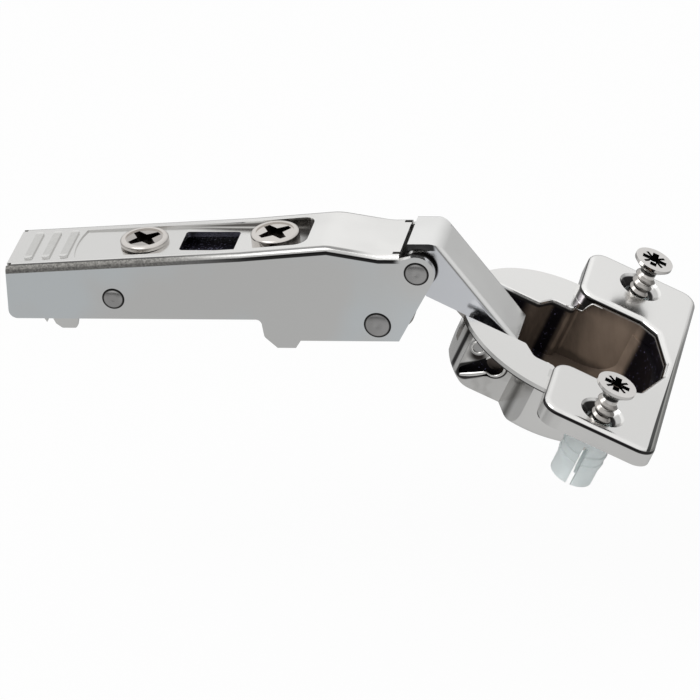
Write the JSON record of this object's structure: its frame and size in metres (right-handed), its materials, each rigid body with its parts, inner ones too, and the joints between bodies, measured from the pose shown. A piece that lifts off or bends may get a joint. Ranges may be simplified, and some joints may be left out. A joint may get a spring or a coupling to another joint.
{
  "type": "concealed cabinet hinge",
  "caption": "Concealed clip-on cabinet hinge with a pressed cup, folded arm, two pivoting links, adjusting screws and press-in dowels, shown at its widest opening.",
  "frame": {"origin": "on the plane of the arm's lower edges, under the axis of the rear adjusting screw, where the mounting plate is held", "axes": "+X along the arm towards the door, +Y along the pivot pins, +Z away from the cabinet side"},
  "size_m": [0.1133, 0.056, 0.0372],
  "materials": {
    "plated_steel": "bright nickel-plated pressed steel",
    "dark_steel": "dark phosphated steel",
    "spring_steel": "oiled spring steel",
    "pin_steel": "turned steel pins",
    "screw_steel": "bright nickel-plated screws",
    "dowel_plastic": "pale translucent plastic"
  },
  "bodies": {
    "arm": {"hinge_arm": "plated_steel", "clip_lever_pin": "pin_steel", "outer_link_pin": "pin_steel", "inner_link_pin": "pin_steel", "link_washers": "pin_steel", "closing_spring": "spring_steel", "clip_spring": "spring_steel"},
    "carriage": {"carriage": "dark_steel"},
    "depth_cam_screw": {"depth_cam_screw": "screw_steel"},
    "overlay_screw": {"overlay_screw": "screw_steel"},
    "clip_lever": {"clip_lever": "plated_steel"},
    "outer_link": {"outer_link": "plated_steel"},
    "cup": {"cup": "plated_steel", "cup_inner_pin": "pin_steel", "cup_outer_pin_near": "pin_steel", "cup_outer_pin_far": "pin_steel", "dowel_near": "dowel_plastic", "dowel_far": "dowel_plastic"},
    "inner_link": {"inner_link": "plated_steel"},
    "cup_screw_near": {"cup_screw_near": "screw_steel"},
    "cup_screw_far": {"cup_screw_far": "screw_steel"}
  },
  "joints": [
    {"name": "outer_pivot", "type": "hinge", "parent": "arm", "child": "outer_link", "pos_m": [0.04839, 0, 0.00885], "axis": [0, -1, 0], "range_deg": [-24.1, 0.5]},
    {"name": "cup_swing", "type": "hinge", "parent": "outer_link", "child": "cup", "pos_m": [0.0608, 0, -0.00737], "axis": [0, -1, 0], "range_deg": [0, 142]},
    {"name": "inner_pivot", "type": "hinge", "parent": "cup", "child": "inner_link", "pos_m": [0.05836, 0, -0.00381], "axis": [0, -1, 0], "range_deg": [-165, 0.5]},
    {"name": "clip_lever_pivot", "type": "hinge", "parent": "arm", "child": "clip_lever", "pos_m": [-0.00471, 0, 0.00387], "axis": [0, 1, 0], "range_deg": [0, 10], "stiffness_Nm_per_rad": 0.02, "springref_deg": -11.46},
    {"name": "depth_cam", "type": "hinge", "parent": "arm", "child": "depth_cam_screw", "pos_m": [0, 0, 0.0105], "axis": [0, 0, 1], "range_deg": [-58, 58]},
    {"name": "carriage_slide", "type": "slide", "parent": "arm", "child": "carriage", "axis": [1, 0, 0], "range_m": [-0.00119, 0.00119]},
    {"name": "overlay_turn", "type": "hinge", "parent": "arm", "child": "overlay_screw", "pos_m": [0.023, 0, 0.01125], "axis": [0, 0, 1], "continuous": true},
    {"name": "cup_screw_near_slide", "type": "slide", "parent": "cup", "child": "cup_screw_near", "axis": [-0.4695, 0, -0.8829], "range_m": [0, 0.0057]},
    {"name": "cup_screw_far_slide", "type": "slide", "parent": "cup", "child": "cup_screw_far", "axis": [-0.4695, 0, -0.8829], "range_m": [0, 0.0057]}
  ],
  "couplings": [
    {"joint": "outer_pivot", "follows": "cup_swing", "ratio": -0.16901},
    {"joint": "inner_pivot", "follows": "cup_swing", "ratio": -1.1585},
    {"joint": "depth_cam", "follows": "carriage_slide", "rad_per_m": 847.5}
  ]
}
